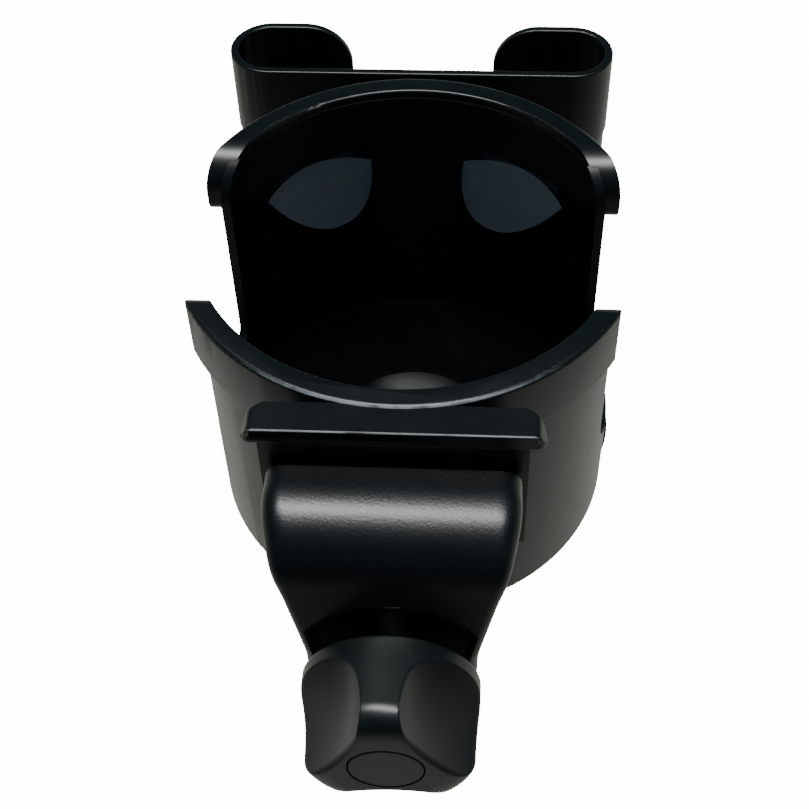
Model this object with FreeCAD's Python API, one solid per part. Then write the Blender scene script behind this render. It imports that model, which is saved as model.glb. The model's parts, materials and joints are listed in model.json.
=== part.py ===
import FreeCAD, Part
import math
import os

# Desk clamp cup holder: a cup with two side notches, a screw clamp that slides
# into rails on its front, and a phone cradle that hangs on a rail at its rear.
# Millimetres. Origin: centre of the cup's underside. +Z up, -Y towards the clamp.

V = FreeCAD.Vector

# ---- cup
WELL_DIA = 89.2            # inside of the cup
CUP_WALL = 1.9
CUP_HEIGHT = 78.4
CUP_FLOOR = 2.5            # floor's thickness at the cup's axis
FLOOR_LEVEL = 8.3          # level part of the floor, round a dished middle
DISH_RADIUS = 37.0         # the dish is part of a sphere
FLOOR_ROUND = 1.5          # inside corner between floor and wall
POCKET_INNER = 23.5        # ring-shaped pocket in the underside
POCKET_WALL = 2.3
BASE_ROUND = 1.5           # outside corner at the underside
COLLAR_STEP = 3.5          # how far the rim collar stands out of the cup wall
COLLAR_HEIGHT = 14.9
COLLAR_CAP = 2.0           # thickness of the collar over the wall's top
COLLAR_LAND = 0.4          # the cap stops this far outside the well
NOTCH_FRONT = 15.0         # side notch, from the cup's axis to its front edge
NOTCH_REAR = 17.2          # and to its rear edge
NOTCH_SILL = 22.0          # height of the notch's lower edge
NOTCH_FRONT_ROUND = 10.0
NOTCH_REAR_ROUND = 6.0
NOTCH_EASE = 4.0           # where the front edge steps back under the collar
NOTCH_STEP_LOW = 52.0
NOTCH_STEP_HIGH = 61.0
COLLAR_FRONT_END = 20.7    # ends of the two collars, from the cup's axis
COLLAR_REAR_END = 18.7
FRONT_TOP_ROUND = 4.0      # corners of those ends, seen from the side
FRONT_LOW_ROUND = 2.5
COLLAR_END_ROUND = 2.2      # and seen from above, front collar only
REAR_TOP_ROUND = 9.0
REAR_LOW_ROUND = 3.0
SIDE_LUG_WIDTH = 4.0
SIDE_LUG_PROUD = 0.7
SIDE_LUG_LENGTH = 15.0
SIDE_LUG_HEIGHT = 12.5     # height of its middle

# ---- rails for the clamp, on the front of the cup
RAIL_HALF = 26.0           # half the width over both rails
RAIL_SIDE = 4.0            # thickness of each rail's side wall
RAIL_LIP = 5.0             # how far each lip turns in over the plate
RAIL_LIP_THICK = 2.2
RAIL_LOW = 44.0
RAIL_BACK = 3.6            # web between the cup wall and the plate's channel
HOOD_FRONT_HALF = 29.8     # lip that closes the rails at the top
HOOD_SIDE_HALF = 28.6
HOOD_REAR_HALF = 25.3
HOOD_TAPER = 2.2           # each end leans in by this much towards the top
HOOD_TUCK = 1.0            # its straight rear edge lies this far inside the collar's radius
HOOD_CHAMFER = 2.4         # cut corners at the rear, measured along Y
HOOD_THICK = 4.0
HOOD_SIDE_ROUND = 2.6
HOOD_FRONT_ROUND = 2.0
HOOD_TOP_ROUND = 1.6
HOOD_PROUD = 0.2
HOOD_STEP = 1.4            # smaller step under the hood
WINDOW_LOW = 66.0
WINDOW_HIGH = 71.5

# ---- clamp
SLIDE_GAP = 0.3            # between faces that slide past each other
PLATE_THICK = 3.3
PLATE_LOW = 40.0
JAW_LOW = 16.0
HEAD_GAP = 1.8             # from the rails' lips to the back of the head
HEAD_HALF = 26.0
HEAD_TOP = 70.0
HEAD_DEPTH = 17.2          # head, back to front
HEAD_ROUND = 15.0          # front of its top, seen from the side
HEAD_REAR_ROUND = 2.0
KNEE_ROUND = 10.0
BRIDGE_LOW = 57.0          # underside of the head, top of the jaw
ARM_REACH = 22.0           # back of the head to the front of the arm
ARM_THICK = 5.2
ARM_WAIST_Z = 52.0
ARM_WAIST_HALF = 20.9
ARM_END_HALF = 17.2
HEAD_SIDE_ROUND = 6.0      # seen from above
HEAD_CORNER = 3.5          # seen from the front
JAW_BACK_THICK = 3.5
JAW_PAD_THICK = 2.0
JAW_PAD_MARGIN = 1.7

# ---- screw, knob and pressure shoe
SCREW_AXIS_Z = 30.5
SCREW_DIA = 8.0
SCREW_PITCH = 2.0
SCREW_TURNS = 4.5
RUN_CLEAR = 0.05           # radial clearance of the screw in its bores
INSERT_WALL = 1.8
RECESS_DIA = 42.6          # recess round the screw, on the arm's front
RECESS_DEPTH = 2.6
RECESS_RIM = 2.2           # what the recess leaves of the arm on each side
BOSS_WALL = 1.4
BOSS_PROUD = 0.5
KNOB_DIA = 36.0
KNOB_LENGTH = 19.4
KNOB_FLANGE = 2.6
KNOB_STAND_OFF = 1.6       # arm's front to the knob's flange, jaw closed
KNOB_WAIST = 9.6           # axis to the bottom of a scoop at the knob's end
KNOB_LOBES = 3
KNOB_END_ROUND = 1.2
CAP_DIA = 14.8
CAP_DEPTH = 1.6
CAP_GAP = 0.15
WASHER_DIA = 16.0
WASHER_THICK = 1.0
SHOE_DIA = 24.0
SHOE_THICK = 3.0
SHOE_PAD_THICK = 1.2
CLIP_DIA = 12.0
CLIP_THICK = 0.8
CLIP_GROOVE = 0.9          # depth of the clip's groove in the screw
SCREW_SEAT = 1.0           # how far the screw's tip enters the shoe
KNOB_FLAT = 0.36           # drive flat on the screw's head, as a share of its diameter
SCOOP_CENTRE = 1.42        # scoops' centre from the axis, as a share of the knob's radius
GROOVE_WIDE = 1.0          # grooves in the rubber faces
GROOVE_DEEP = 0.5
PAD_PITCH = 4.0
JAW_REST_GAP = 0.4         # between the two pads with the jaw closed

# ---- receiver screws
FIX_DIA = 3.0
FIX_HEAD_DIA = 6.4
FIX_HEAD_THICK = 1.6
FIX_BITE = 2.8
FIX_HEIGHTS = (49.0, 58.0)

# ---- rail and cradle for the phone, at the rear of the cup
TEE_NECK_HALF = 12.0
TEE_HALF = 16.0
TEE_THICK = 1.8
TEE_LOW = 14.0
TEE_HIGH = 51.2
GUIDE_WALL = 2.0
GUIDE_LIP = 1.4
GUIDE_LOW = 8.0
COLLAR_PASS = 0.4          # between the rim collar and the guide as it lifts past
CRADLE_HALF = 46.0
CRADLE_DEPTH = 19.5
CRADLE_WALL = 2.0
CRADLE_TOP = 76.0
CRADLE_SEAM = 54.5
CRADLE_LOW = 4.0
CRADLE_SEAM_STEP = 0.4
CRADLE_GAP_HALF = 17.5     # half the gap between the two hooks
HOOK_CORNER = 11.0
LEDGE_THICK = 2.0
LEDGE_GAP_HALF = 15.0

# ---- grip flaps inside the cup
FLAP_MID_ANGLE = 34.0      # from the cup's rear or front to each flap's middle
FLAP_HALF_SPAN = 14.6      # half its length along the wall
FLAP_REACH = 14.5
FLAP_THICK = 1.2
FLAP_SLOPE = 31.0          # degrees below level
FLAP_HEIGHT = 62.0
FLAP_AXIS_INSET = 2.1      # hinge line, inward of the wall
FLAP_END_GAP = 2.0         # to the wall at the leaf's tips
FLAP_MID_GAP = 0.6         # and at its middle
FLAP_FULLNESS = 2.2        # exponents of the leaf's outline
FLAP_TIP_POWER = 0.75
ANCHOR_HEIGHT = 2.0
ANCHOR_DEPTH = 1.0         # into the wall
ANCHOR_HALF_ANGLE = 14.0

# ---- worked out from the sizes above
WELL_R = WELL_DIA / 2
CUP_R = WELL_R + CUP_WALL
COLLAR_R = CUP_R + COLLAR_STEP
COLLAR_LOW = CUP_HEIGHT - COLLAR_HEIGHT
SHELL_TOP = CUP_HEIGHT - COLLAR_CAP
CHANNEL_Y = -(CUP_R + RAIL_BACK)                 # back of the plate's channel
CHANNEL_DEPTH = PLATE_THICK + 2 * SLIDE_GAP
LIP_BACK_Y = CHANNEL_Y - CHANNEL_DEPTH
RAIL_FRONT_Y = LIP_BACK_Y - RAIL_LIP_THICK
HOOD_TOP = CUP_HEIGHT
HOOD_REAR_Y = HOOD_TUCK - COLLAR_R
HOOD_LOW = HOOD_TOP - HOOD_THICK
RAIL_INNER = RAIL_HALF - RAIL_SIDE
LIP_INNER = RAIL_INNER - RAIL_LIP
PLATE_HALF = RAIL_INNER - SLIDE_GAP
PLATE_BACK_Y = CHANNEL_Y - SLIDE_GAP
PLATE_FRONT_Y = PLATE_BACK_Y - PLATE_THICK
PLATE_TOP = HOOD_LOW - HOOD_STEP - SLIDE_GAP
NECK_HALF = LIP_INNER - SLIDE_GAP
HEAD_BACK_Y = RAIL_FRONT_Y - HEAD_GAP
ARM_FRONT_Y = HEAD_BACK_Y - ARM_REACH
ARM_BACK_Y = ARM_FRONT_Y + ARM_THICK
JAW_BACK_Y = PLATE_FRONT_Y - JAW_BACK_THICK
JAW_PAD_Y = JAW_BACK_Y - JAW_PAD_THICK
RECESS_Y = ARM_FRONT_Y + RECESS_DEPTH
INSERT_R = SCREW_DIA / 2 + RUN_CLEAR + INSERT_WALL
BOSS_R = INSERT_R + BOSS_WALL
BOSS_Y = ARM_FRONT_Y - BOSS_PROUD
SHOE_PAD_Y = JAW_PAD_Y - JAW_REST_GAP
SHOE_FRONT_Y = SHOE_PAD_Y - SHOE_PAD_THICK
SHOE_BACK_Y = SHOE_FRONT_Y - SHOE_THICK
KNOB_BACK_Y = ARM_FRONT_Y - KNOB_STAND_OFF
KNOB_END_Y = KNOB_BACK_Y - KNOB_LENGTH
GUIDE_Y = COLLAR_R + COLLAR_PASS
TEE_Y = GUIDE_Y + GUIDE_LIP + SLIDE_GAP
CRADLE_Y = TEE_Y + TEE_THICK + SLIDE_GAP


def block(x0, x1, y0, y1, z0, z1):
    """Box between two corners."""
    return Part.makeBox(x1 - x0, y1 - y0, z1 - z0, V(x0, y0, z0))


def upright(radius, z0, z1, x=0.0, y=0.0):
    """Cylinder standing along Z."""
    return Part.makeCylinder(radius, z1 - z0, V(x, y, z0), V(0, 0, 1))


def along_y(radius, y0, y1, x=0.0, z=SCREW_AXIS_Z):
    """Cylinder lying along Y, between y0 and y1 in either order."""
    low = min(y0, y1)
    return Part.makeCylinder(radius, abs(y1 - y0), V(x, low, z), V(0, 1, 0))


def rounded_face(corners, place):
    """Closed outline of straight runs joined by tangent arcs.

    corners: (u, v, radius) in order; place turns (u, v) into a point in space.
    """
    count = len(corners)
    spans = []
    for i in range(count):
        u, v, radius = corners[i]
        before = corners[i - 1]
        after = corners[(i + 1) % count]
        here = V(u, v, 0)
        back = (V(before[0], before[1], 0) - here).normalize()
        on = (V(after[0], after[1], 0) - here).normalize()
        if radius <= 0:
            spans.append((here, here, here))
            continue
        half = back.getAngle(on) / 2
        reach = radius / math.tan(half)
        middle = (back + on).normalize()
        centre = here + middle * (radius / math.sin(half))
        spans.append((here + back * reach, centre - middle * radius, here + on * reach))
    edges = []
    for i in range(count):
        start, mid, end = spans[i]
        if (end - start).Length > 1e-6:
            arc = Part.Arc(place(start), place(mid), place(end))
            edges.append(arc.toShape())
        following = spans[(i + 1) % count][0]
        if (following - end).Length > 1e-6:
            edges.append(Part.makeLine(place(end), place(following)))
    return Part.Face(Part.Wire(edges))


def prism_x(corners, x0, x1):
    """Outline in the Y-Z plane, pushed along X."""
    face = rounded_face(corners, lambda p: V(x0, p.x, p.y))
    return face.extrude(V(x1 - x0, 0, 0))


def prism_y(corners, y0, y1):
    """Outline in the X-Z plane, pushed along Y."""
    face = rounded_face(corners, lambda p: V(p.x, y0, p.y))
    return face.extrude(V(0, y1 - y0, 0))


def ring_of(corners):
    """Outline in radius and height, turned once round the cup's axis."""
    face = rounded_face(corners, lambda p: V(p.x, 0, p.y))
    return face.revolve(V(0, 0, 0), V(0, 0, 1), 360)


def both_sides(shape):
    """A shape and its mirror image across the Y-Z plane."""
    return shape.fuse(shape.mirror(V(0, 0, 0), V(1, 0, 0)))


def fuse_all(shapes):
    """One solid out of several that share faces or overlap."""
    return shapes[0].fuse(shapes[1:]).removeSplitter()


def corner_waste(y, z, radius, y_side, z_side):
    """What a rounded corner takes off an edge at (y, z), on both sides of the cup.

    y_side and z_side point from the corner into the material.
    """
    far_y = y + y_side * radius
    far_z = z + z_side * radius
    over = 2.0
    y0, y1 = sorted((y - y_side * over, far_y))
    z0, z1 = sorted((z - z_side * over, far_z))
    reach = COLLAR_R + over
    inner = WELL_R / 2
    waste = block(inner, reach, y0, y1, z0, z1)
    roll = Part.makeCylinder(radius, reach - inner, V(inner, far_y, far_z), V(1, 0, 0))
    return both_sides(waste.cut(roll))


def side_notches():
    """Openings for a mug's handle, through both sides of the cup's wall."""
    top = CUP_HEIGHT + 5
    corners = [
        (-COLLAR_FRONT_END, top, 0),
        (-COLLAR_FRONT_END, NOTCH_STEP_HIGH, NOTCH_EASE),
        (-NOTCH_FRONT, NOTCH_STEP_LOW, NOTCH_EASE),
        (-NOTCH_FRONT, NOTCH_SILL, NOTCH_FRONT_ROUND),
        (NOTCH_REAR, NOTCH_SILL, NOTCH_REAR_ROUND),
        (NOTCH_REAR, top, 0),
    ]
    return both_sides(prism_x(corners, WELL_R / 2, COLLAR_R + 5))


def collar_gaps():
    """What parts the rim collar into a front arc and a rear arc."""
    low = COLLAR_LOW - 1
    top = CUP_HEIGHT + 1
    return both_sides(block(WELL_R / 2, COLLAR_R + 1, -COLLAR_FRONT_END, COLLAR_REAR_END, low, top))


def collar_end_waste():
    """What rounds the outer corners of the front collar's ends, seen from above."""
    radius = COLLAR_END_ROUND
    y = -COLLAR_FRONT_END - radius
    x = math.sqrt((COLLAR_R - radius) ** 2 - y ** 2)
    touch = y * COLLAR_R / (COLLAR_R - radius)
    low = COLLAR_LOW - 1
    top = CUP_HEIGHT + 1
    corner = block(x, COLLAR_R + 1, touch, 1 - COLLAR_FRONT_END, low, top)
    return both_sides(corner.cut(upright(radius, low, top, x, y)))


def fixing_holes(radius):
    """Bores for the screws that hold the front rails, through wall and web."""
    holes = []
    for height in FIX_HEIGHTS:
        holes.append(along_y(radius, -(WELL_R - 1), CHANNEL_Y + 1 - RAIL_BACK + FIX_BITE, z=height))
    return holes


def flap_frame(side, end):
    """Middle angle of one flap: side is -1 or 1 in X, end is 1 at the rear, -1 in front."""
    angle = math.radians(FLAP_MID_ANGLE)
    inward = V(-side * math.sin(angle), -end * math.cos(angle), 0)
    along = V(end * side * inward.y, -end * side * inward.x, 0)
    hinge = inward * -(WELL_R - FLAP_AXIS_INSET)
    return inward, along, V(hinge.x, hinge.y, FLAP_HEIGHT)


def cup_shell():
    """Cup wall and floor, side notches, two small lugs low on the sides."""
    outside = upright(CUP_R, 0, SHELL_TOP)
    rim = [e for e in outside.Edges if e.Curve.TypeId == "Part::GeomCircle" and e.BoundBox.ZMax < 1]
    outside = outside.makeFillet(BASE_ROUND, rim)
    well = ring_of([
        (0, FLOOR_LEVEL, 0),
        (WELL_R, FLOOR_LEVEL, FLOOR_ROUND),
        (WELL_R, CUP_HEIGHT + 1, 0),
        (0, CUP_HEIGHT + 1, 0),
    ])
    dish = Part.makeSphere(DISH_RADIUS, V(0, 0, CUP_FLOOR + DISH_RADIUS))
    dish = dish.common(upright(WELL_R, 0, FLOOR_LEVEL))
    pocket = ring_of([
        (POCKET_INNER, -1, 0),
        (POCKET_INNER, FLOOR_LEVEL - POCKET_WALL, 1),
        (WELL_R - 0.4, FLOOR_LEVEL - POCKET_WALL, 1),
        (WELL_R - 0.4, -1, 0),
    ])
    swell = (SIDE_LUG_LENGTH ** 2 / 4 + SIDE_LUG_PROUD ** 2) / (2 * SIDE_LUG_PROUD)
    start = V(CUP_R + SIDE_LUG_PROUD - swell, -SIDE_LUG_WIDTH / 2, SIDE_LUG_HEIGHT)
    lug = Part.makeCylinder(swell, SIDE_LUG_WIDTH, start, V(0, 1, 0))
    half_width = SIDE_LUG_WIDTH / 2
    lug = lug.common(block(CUP_R - 0.5, COLLAR_R, -half_width, half_width, 0, 2 * SIDE_LUG_HEIGHT))
    shell = outside.fuse(both_sides(lug)).cut([well, dish, pocket]).cut(side_notches())
    shell = shell.cut(corner_waste(NOTCH_REAR, CUP_HEIGHT, REAR_TOP_ROUND + 2.5, 1, -1))
    shell = shell.cut(corner_waste(-COLLAR_FRONT_END, CUP_HEIGHT, FRONT_TOP_ROUND + 0.5, -1, -1))
    shell = shell.cut(anchor_strips())
    return shell.cut(fixing_holes(FIX_DIA / 2 + RUN_CLEAR)).removeSplitter()


def rim_collars():
    """The thick band round the rim, in two arcs: front and rear."""
    inner = WELL_R + COLLAR_LAND
    band = ring_of([
        (CUP_R, COLLAR_LOW, 0),
        (COLLAR_R, COLLAR_LOW, 0.6),
        (COLLAR_R, CUP_HEIGHT, 1.1),
        (inner, CUP_HEIGHT, 0.7),
        (inner, SHELL_TOP, 0),
        (CUP_R, SHELL_TOP, 0),
    ])
    band = band.cut(collar_gaps())
    band = band.cut(collar_end_waste())
    wastes = [
        corner_waste(COLLAR_REAR_END, CUP_HEIGHT, REAR_TOP_ROUND, 1, -1),
        corner_waste(COLLAR_REAR_END, COLLAR_LOW, REAR_LOW_ROUND, 1, 1),
        corner_waste(-COLLAR_FRONT_END, CUP_HEIGHT, FRONT_TOP_ROUND, -1, -1),
        corner_waste(-COLLAR_FRONT_END, COLLAR_LOW, FRONT_LOW_ROUND, -1, 1),
    ]
    for waste in wastes:
        band = band.cut(waste)
    halves = sorted(band.Solids, key=lambda s: s.CenterOfMass.y)
    return halves[0], halves[-1]


def cup_space():
    """Everything the cup and its collar take up, for pieces that seat on them."""
    return upright(CUP_R, -1, COLLAR_LOW).fuse(upright(COLLAR_R, COLLAR_LOW, CUP_HEIGHT + 5))


def front_receiver():
    """C-shaped rails that take the clamp's plate from below."""
    top = HOOD_LOW
    body = block(-RAIL_HALF, RAIL_HALF, RAIL_FRONT_Y, -WELL_R * 0.8, RAIL_LOW, top)
    channel = block(-RAIL_INNER, RAIL_INNER, LIP_BACK_Y, CHANNEL_Y, RAIL_LOW - 1, top - HOOD_STEP)
    mouth = block(-LIP_INNER, LIP_INNER, RAIL_FRONT_Y - 1, LIP_BACK_Y, RAIL_LOW - 1, top - HOOD_STEP)
    window = block(LIP_INNER - 1, RAIL_INNER + 1.5, RAIL_FRONT_Y - 1, LIP_BACK_Y, WINDOW_LOW, WINDOW_HIGH)
    behind = block(-RAIL_HALF - 1, RAIL_HALF + 1, CHANNEL_Y, 0, COLLAR_LOW - 0.5, top + 1)
    body = body.cut([cup_space(), behind, channel, mouth, both_sides(window)])
    body = body.cut(fixing_holes(FIX_DIA / 2))
    return body.removeSplitter()


def receiver_hood():
    """Overhanging lip on top of the rails, wider in front, with leaning ends."""
    front = RAIL_FRONT_Y - HOOD_PROUD
    side_y = HOOD_REAR_Y - HOOD_CHAMFER
    face = rounded_face([
        (-HOOD_REAR_HALF, HOOD_REAR_Y, 0.6),
        (HOOD_REAR_HALF, HOOD_REAR_Y, 0.6),
        (HOOD_SIDE_HALF, side_y, HOOD_SIDE_ROUND),
        (HOOD_FRONT_HALF, front, HOOD_FRONT_ROUND),
        (-HOOD_FRONT_HALF, front, HOOD_FRONT_ROUND),
        (-HOOD_SIDE_HALF, side_y, HOOD_SIDE_ROUND),
    ], lambda p: V(p.x, p.y, HOOD_LOW))
    plan = face.extrude(V(0, 0, HOOD_THICK))
    leaning = prism_y([
        (-HOOD_FRONT_HALF, HOOD_LOW, 0.3),
        (HOOD_FRONT_HALF, HOOD_LOW, 0.3),
        (HOOD_FRONT_HALF - HOOD_TAPER, HOOD_TOP, HOOD_TOP_ROUND),
        (-HOOD_FRONT_HALF + HOOD_TAPER, HOOD_TOP, HOOD_TOP_ROUND),
    ], front - 1, HOOD_REAR_Y + 1)
    return plan.common(leaning).cut(cup_space()).removeSplitter()


def fixing_screws():
    """Pan head screws from inside the cup into the front rails."""
    screws = []
    seat = -math.sqrt(WELL_R ** 2 - (FIX_HEAD_DIA / 2) ** 2)
    for height in FIX_HEIGHTS:
        tip = -(CUP_R + FIX_BITE)
        shank = along_y(FIX_DIA / 2, seat, tip, z=height)
        top = seat + FIX_HEAD_THICK
        head = along_y(FIX_HEAD_DIA / 2, top, seat, z=height)
        edge = [e for e in head.Edges if e.BoundBox.YMin > top - 0.1]
        head = head.makeFillet(0.7, edge)
        cross = block(-1.9, 1.9, top - 0.9, top + 1, height - 0.4, height + 0.4)
        cross = cross.fuse(block(-0.4, 0.4, top - 0.9, top + 1, height - 1.9, height + 1.9))
        screws.append(head.fuse(shank).cut(cross).removeSplitter())
    return Part.makeCompound(screws)


def rear_rail():
    """T-shaped rail that carries the phone cradle."""
    neck = block(-TEE_NECK_HALF, TEE_NECK_HALF, WELL_R * 0.8, TEE_Y, TEE_LOW, TEE_HIGH)
    flange = block(-TEE_HALF, TEE_HALF, TEE_Y, TEE_Y + TEE_THICK, TEE_LOW, TEE_HIGH)
    return fuse_all([neck.cut(cup_space()), flange])


def arm_outline(inset, y0, y1):
    """The clamp seen from the front, shrunk at its sides and lower end by inset."""
    low = SCREW_AXIS_Z - ARM_END_HALF + inset
    end_half = ARM_END_HALF - inset
    half = [
        (HEAD_HALF - inset, HEAD_TOP, HEAD_CORNER),
        (HEAD_HALF - inset, ARM_WAIST_Z + 12, 6.0),
        (ARM_WAIST_HALF - inset, ARM_WAIST_Z, 20.0),
        (end_half, SCREW_AXIS_Z + 6, 20.0),
        (end_half, low, end_half - 0.01),
    ]
    mirrored = [(-x, z, r) for x, z, r in reversed(half)]
    return prism_y(half + mirrored, y0, y1)


def clamp_arm():
    """Head and front arm: what a side, a front and a top outline have in common."""
    head_front = HEAD_BACK_Y - HEAD_DEPTH
    knee = SCREW_AXIS_Z + ARM_END_HALF / 2 - 1
    low = SCREW_AXIS_Z - ARM_END_HALF
    side = prism_x([
        (HEAD_BACK_Y, HEAD_TOP, HEAD_REAR_ROUND),
        (head_front, HEAD_TOP, HEAD_ROUND),
        (ARM_FRONT_Y, knee, KNEE_ROUND),
        (ARM_FRONT_Y, low, 0),
        (ARM_BACK_Y, low, 0),
        (ARM_BACK_Y, knee, 0.8 * KNEE_ROUND),
        (head_front + ARM_THICK - 1.2, BRIDGE_LOW, 4.0),
        (HEAD_BACK_Y, BRIDGE_LOW, 0),
    ], -HEAD_HALF - 1, HEAD_HALF + 1)
    front = arm_outline(0.0, ARM_FRONT_Y - 1, HEAD_BACK_Y + 1)
    face = rounded_face([
        (-HEAD_HALF, HEAD_BACK_Y, 0),
        (HEAD_HALF, HEAD_BACK_Y, 0),
        (HEAD_HALF, ARM_FRONT_Y, HEAD_SIDE_ROUND),
        (-HEAD_HALF, ARM_FRONT_Y, HEAD_SIDE_ROUND),
    ], lambda p: V(p.x, p.y, low - 1))
    plan = face.extrude(V(0, 0, HEAD_TOP - low + 2))
    return side.common(front).common(plan)


def clamp_body():
    """Plate, neck, head and arm of the clamp, moulded as one."""
    plate = block(-PLATE_HALF, PLATE_HALF, PLATE_FRONT_Y, PLATE_BACK_Y, PLATE_LOW, PLATE_TOP)
    corner = [e for e in plate.Edges if abs(e.Vertexes[0].X) > 1 and e.Length < PLATE_THICK + 0.1]
    plate = plate.makeFillet(2.0, corner)
    neck = block(-NECK_HALF, NECK_HALF, HEAD_BACK_Y - 1.5, PLATE_FRONT_Y, BRIDGE_LOW, HEAD_TOP - 1.5)
    jaw = block(-NECK_HALF, NECK_HALF, JAW_BACK_Y, PLATE_BACK_Y, JAW_LOW, BRIDGE_LOW)
    boss = along_y(BOSS_R, BOSS_Y, ARM_BACK_Y)
    recess = along_y(RECESS_DIA / 2, RECESS_Y, BOSS_Y - 5)
    recess = recess.common(arm_outline(RECESS_RIM, BOSS_Y - 5, RECESS_Y))
    arm = clamp_arm().cut(recess)
    body = fuse_all([arm, plate, neck, jaw, boss])
    return body.cut(along_y(INSERT_R, BOSS_Y - 5, ARM_BACK_Y + 5))


def jaw_pad():
    """Rubber pad on the fixed side of the jaw."""
    half = NECK_HALF - JAW_PAD_MARGIN
    low = JAW_LOW + JAW_PAD_MARGIN
    high = BRIDGE_LOW - 2 * JAW_PAD_MARGIN
    corners = [(-half, low, 2), (half, low, 2), (half, high, 2), (-half, high, 2)]
    pad = prism_y(corners, JAW_PAD_Y, JAW_BACK_Y)
    rows = int((high - low - PAD_PITCH) // PAD_PITCH)
    grooves = []
    for row in range(rows):
        z = low + PAD_PITCH * (row + 1)
        lower, upper = z - GROOVE_WIDE / 2, z + GROOVE_WIDE / 2
        grooves.append(block(-half - 1, half + 1, JAW_PAD_Y - 1, JAW_PAD_Y + GROOVE_DEEP, lower, upper))
    return pad.cut(grooves)


def threaded_insert():
    """Brass bush moulded into the arm, which the screw turns in."""
    bush = along_y(INSERT_R, BOSS_Y, ARM_BACK_Y)
    return bush.cut(along_y(SCREW_DIA / 2 + RUN_CLEAR, BOSS_Y - 1, ARM_BACK_Y + 1))


def clamp_screw():
    """Steel screw from inside the knob to inside the shoe, with a groove for its clip."""
    tip = SHOE_FRONT_Y - SCREW_SEAT
    head = KNOB_END_Y + CAP_DEPTH + 2.0
    shank = along_y(SCREW_DIA / 2, head, tip)
    groove_y = SHOE_BACK_Y - CLIP_THICK
    core = along_y(SCREW_DIA / 2 - CLIP_GROOVE, SHOE_BACK_Y, groove_y)
    collar = along_y(SCREW_DIA, SHOE_BACK_Y, groove_y).cut(core)
    flat_z = SCREW_AXIS_Z + SCREW_DIA * KNOB_FLAT
    flats = block(-SCREW_DIA, SCREW_DIA, head - 1, head + SCREW_DIA, flat_z, SCREW_AXIS_Z + SCREW_DIA)
    return shank.cut([collar, flats])


def knob():
    """Three-lobed knob: a round flange with scoops that deepen towards the end."""
    radius = KNOB_DIA / 2
    body = along_y(radius, KNOB_END_Y, KNOB_BACK_Y)
    scoop_at = radius * SCOOP_CENTRE
    scoop_end = scoop_at - KNOB_WAIST
    scoop_start = scoop_at - radius - 0.5
    scoops = []
    for i in range(KNOB_LOBES):
        angle = math.radians(270 + i * 360 / KNOB_LOBES)
        at = V(scoop_at * math.cos(angle), 0, SCREW_AXIS_Z + scoop_at * math.sin(angle))
        start = V(at.x, KNOB_END_Y - 1, at.z)
        length = KNOB_LENGTH - KNOB_FLANGE + 1
        scoops.append(Part.makeCone(scoop_end, scoop_start, length, start, V(0, 1, 0)))
    body = body.cut(scoops)
    end_edges = [e for e in body.Edges if e.BoundBox.YMax < KNOB_END_Y + 0.05]
    body = body.makeFillet(KNOB_END_ROUND, end_edges)
    pocket = along_y(CAP_DIA / 2 + CAP_GAP, KNOB_END_Y - 1, KNOB_END_Y + CAP_DEPTH)
    return body.cut([pocket, clamp_screw()]).removeSplitter()


def knob_cap():
    """Round cover pressed into the knob's end."""
    disc = along_y(CAP_DIA / 2, KNOB_END_Y, KNOB_END_Y + CAP_DEPTH)
    edge = [e for e in disc.Edges if e.BoundBox.YMax < KNOB_END_Y + 0.05]
    return disc.makeFillet(0.3, edge)


def thrust_washer():
    """Plain washer behind the knob."""
    disc = along_y(WASHER_DIA / 2, KNOB_BACK_Y, KNOB_BACK_Y + WASHER_THICK)
    return disc.cut(along_y(SCREW_DIA / 2, KNOB_BACK_Y - 1, KNOB_BACK_Y + WASHER_THICK + 1))


def pressure_shoe():
    """Disc on the screw's tip that presses on the desk."""
    disc = along_y(SHOE_DIA / 2, SHOE_BACK_Y, SHOE_FRONT_Y)
    edge = [e for e in disc.Edges if e.BoundBox.YMax < SHOE_BACK_Y + 0.05]
    disc = disc.makeFillet(1.0, edge)
    bore_end = SHOE_FRONT_Y - SCREW_SEAT + RUN_CLEAR
    return disc.cut(along_y(SCREW_DIA / 2 + RUN_CLEAR, SHOE_BACK_Y - 1, bore_end))


def shoe_pad():
    """Rubber face of the shoe, with round grooves."""
    pad = along_y(SHOE_DIA / 2, SHOE_FRONT_Y, SHOE_PAD_Y)
    rings = []
    for share in (0.4, 0.7):
        middle = SHOE_DIA / 2 * share
        outer = along_y(middle + GROOVE_WIDE / 2, SHOE_PAD_Y - GROOVE_DEEP, SHOE_PAD_Y + 1)
        rings.append(outer.cut(along_y(middle - GROOVE_WIDE / 2, SHOE_PAD_Y - 1, SHOE_PAD_Y + 2)))
    return pad.cut(rings)


def shoe_clip():
    """Spring clip that keeps the shoe on the screw."""
    disc = along_y(CLIP_DIA / 2, SHOE_BACK_Y - CLIP_THICK, SHOE_BACK_Y)
    bore = SCREW_DIA / 2 - CLIP_GROOVE + RUN_CLEAR
    half = bore * 0.8
    gap = block(-half, half, SHOE_BACK_Y - 2, SHOE_BACK_Y + 1, SCREW_AXIS_Z - CLIP_DIA, SCREW_AXIS_Z)
    return disc.cut([along_y(bore, SHOE_BACK_Y - 2, SHOE_BACK_Y + 1), gap])


def stadium(inset, z0, z1):
    """Slot-shaped prism: the cradle's outside, shrunk all round by inset."""
    half = CRADLE_HALF - inset
    y0 = CRADLE_Y + inset
    y1 = CRADLE_Y + CRADLE_DEPTH - inset
    radius = (y1 - y0) / 2
    mid = (y0 + y1) / 2
    bar = block(-half + radius, half - radius, y0, y1, z0, z1)
    ends = [upright(radius, z0, z1, x=s * (half - radius), y=mid) for s in (-1, 1)]
    return bar.fuse(ends).removeSplitter()


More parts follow.
